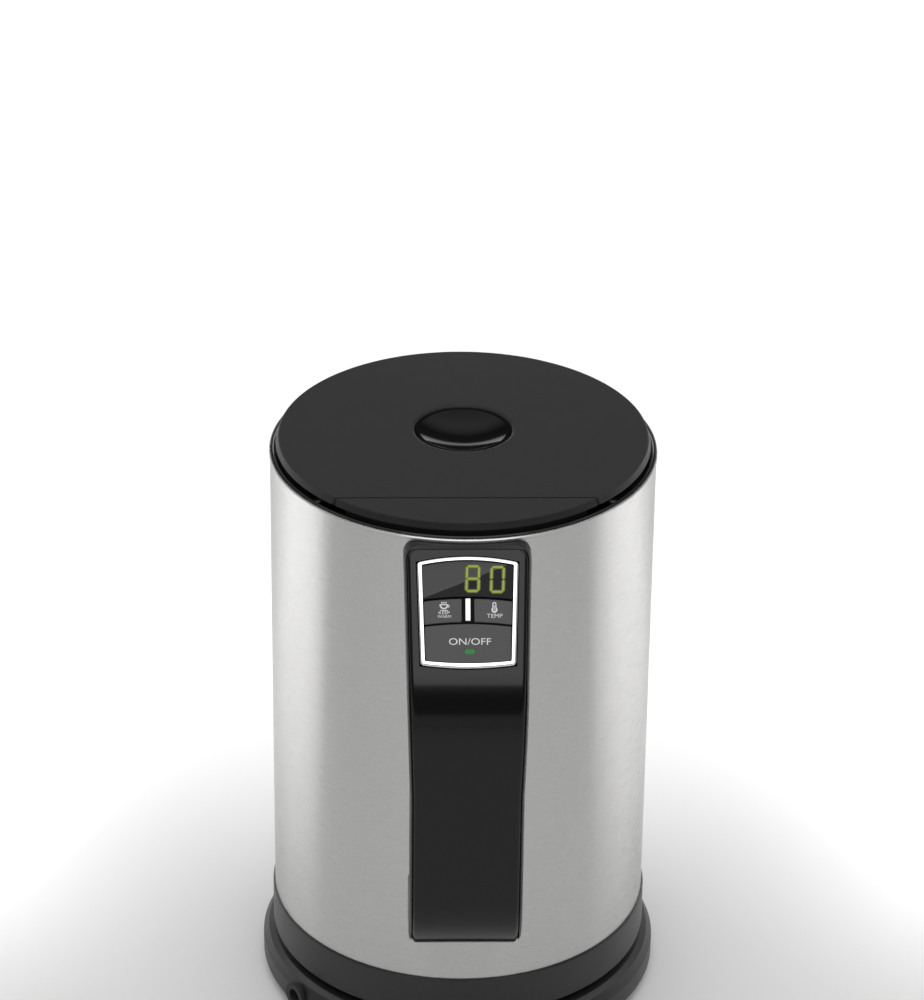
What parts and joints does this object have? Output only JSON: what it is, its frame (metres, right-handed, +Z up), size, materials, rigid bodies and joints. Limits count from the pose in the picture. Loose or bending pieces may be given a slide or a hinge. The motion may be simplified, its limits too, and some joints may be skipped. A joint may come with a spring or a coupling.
{
  "type": "cordless electric kettle",
  "caption": "Brushed steel cordless kettle on a round power base, with a hinged lid released by a dished button and a handle carrying a digital temperature panel.",
  "frame": {"origin": "on the kettle's axis, at the surface it stands on", "axes": "+Z up along the kettle's axis; -Y towards the handle and its panel, +Y towards the spout; +X to the right seen from the handle side"},
  "size_m": [0.16, 0.2166, 0.2415],
  "materials": {
    "steel": "brushed round the body",
    "steel_inside": "satin",
    "spring_steel": "drawn wire",
    "screw_steel": "zinc plated",
    "element_steel": "annealed",
    "aluminium_plate": "rolled",
    "brass_contacts": "plain",
    "black_gloss": "polished",
    "black_satin": "fine grain",
    "lid_plastic": "fine grain",
    "base_plastic": "fine grain",
    "button_plastic": "satin",
    "chrome_trim": "bright",
    "smoked_lens": "polished, smoked",
    "clear_window": "clear moulded window",
    "light_pipe": "lit green",
    "seal_rubber": "silicone",
    "black_rubber": "moulded",
    "board_green": "solder mask",
    "dark_component": "moulded",
    "heat_plastic": "heat resistant moulding"
  },
  "bodies": {
    "power_base": {"base_housing": "base_plastic", "base_cover": "base_plastic", "base_feet": "black_rubber", "base_screws": "screw_steel", "cord_gland": "black_rubber", "base_socket": "heat_plastic", "base_contacts": "brass_contacts", "shutter_spring": "spring_steel"},
    "connector_ring": {"shutter_ring": "black_satin"},
    "lid": {"lid_cover": "lid_plastic", "lid_underside": "black_satin", "lid_seal": "seal_rubber", "lid_screws": "screw_steel", "button_spring": "spring_steel", "latch_spring": "spring_steel"},
    "lid_release": {"lid_button": "black_gloss"},
    "lid_bolt": {"lid_latch": "black_satin"},
    "keep_warm_key": {"keep_warm_button": "button_plastic"},
    "temp_key": {"temp_button": "button_plastic"},
    "power_key": {"power_button": "button_plastic", "power_light": "light_pipe"},
    "kettle": {"steel_body": "steel", "vessel_floor": "steel_inside", "heat_spreader": "aluminium_plate", "heating_element": "element_steel", "floor_gasket": "seal_rubber", "temperature_probe": "steel_inside", "probe_nut": "brass_contacts", "thermal_cutout": "heat_plastic", "power_board": "board_green", "relay": "dark_component", "board_terminals": "brass_contacts", "coupler": "heat_plastic", "coupler_contacts": "brass_contacts", "bottom_housing": "base_plastic", "bottom_screws": "screw_steel", "spout": "steel", "spout_filter": "black_satin", "level_window": "clear_window", "window_gasket": "seal_rubber", "collar_ring": "black_gloss", "hinge_cover": "lid_plastic", "hinge_rod": "spring_steel", "hinge_springs": "spring_steel", "latch_keeper": "spring_steel", "handle_shell": "black_satin", "handle_fascia": "black_gloss", "handle_screws": "screw_steel", "handle_backing_plates": "steel_inside", "panel_bezel": "chrome_trim", "button_frame": "black_satin", "divider_bar": "chrome_trim", "display_lens": "smoked_lens", "display_module": "dark_component", "display_pins": "brass_contacts", "control_board": "board_green", "tact_switches": "dark_component", "buzzer": "dark_component"}
  },
  "joints": [
    {"name": "base_swivel", "type": "hinge", "parent": "power_base", "child": "connector_ring", "pos_m": [0, 0, 0.0235], "axis": [0, 0, 1], "continuous": true},
    {"name": "kettle_lift", "type": "slide", "parent": "connector_ring", "child": "kettle", "axis": [0, 0, 1], "range_m": [0, 0.12]},
    {"name": "lid_hinge", "type": "hinge", "parent": "kettle", "child": "lid", "pos_m": [0, -0.0474, 0.2379], "axis": [1, 0, 0], "range_deg": [0, 85], "deforming": ["hinge_springs", "latch_keeper"]},
    {"name": "lid_release_press", "type": "slide", "parent": "lid", "child": "lid_release", "axis": [0, 0, -1], "range_m": [0, 0.003], "stiffness_N_per_m": 900, "springref_m": -0.002, "deforming": ["button_spring"]},
    {"name": "lid_bolt_slide", "type": "slide", "parent": "lid", "child": "lid_bolt", "axis": [0, -1, 0], "range_m": [0, 0.003], "deforming": ["latch_spring"]},
    {"name": "keep_warm_press", "type": "slide", "parent": "kettle", "child": "keep_warm_key", "axis": [0, 0.766, -0.6428], "range_m": [0, 0.0008], "stiffness_N_per_m": 1500, "springref_m": -0.0004},
    {"name": "temp_press", "type": "slide", "parent": "kettle", "child": "temp_key", "axis": [0, 0.766, -0.6428], "range_m": [0, 0.0008], "stiffness_N_per_m": 1500, "springref_m": -0.0004},
    {"name": "power_press", "type": "slide", "parent": "kettle", "child": "power_key", "axis": [0, 0.766, -0.6428], "range_m": [0, 0.0008], "stiffness_N_per_m": 1500, "springref_m": -0.0004}
  ],
  "couplings": [
    {"joint": "lid_bolt_slide", "follows": "lid_release_press", "ratio": 1}
  ]
}
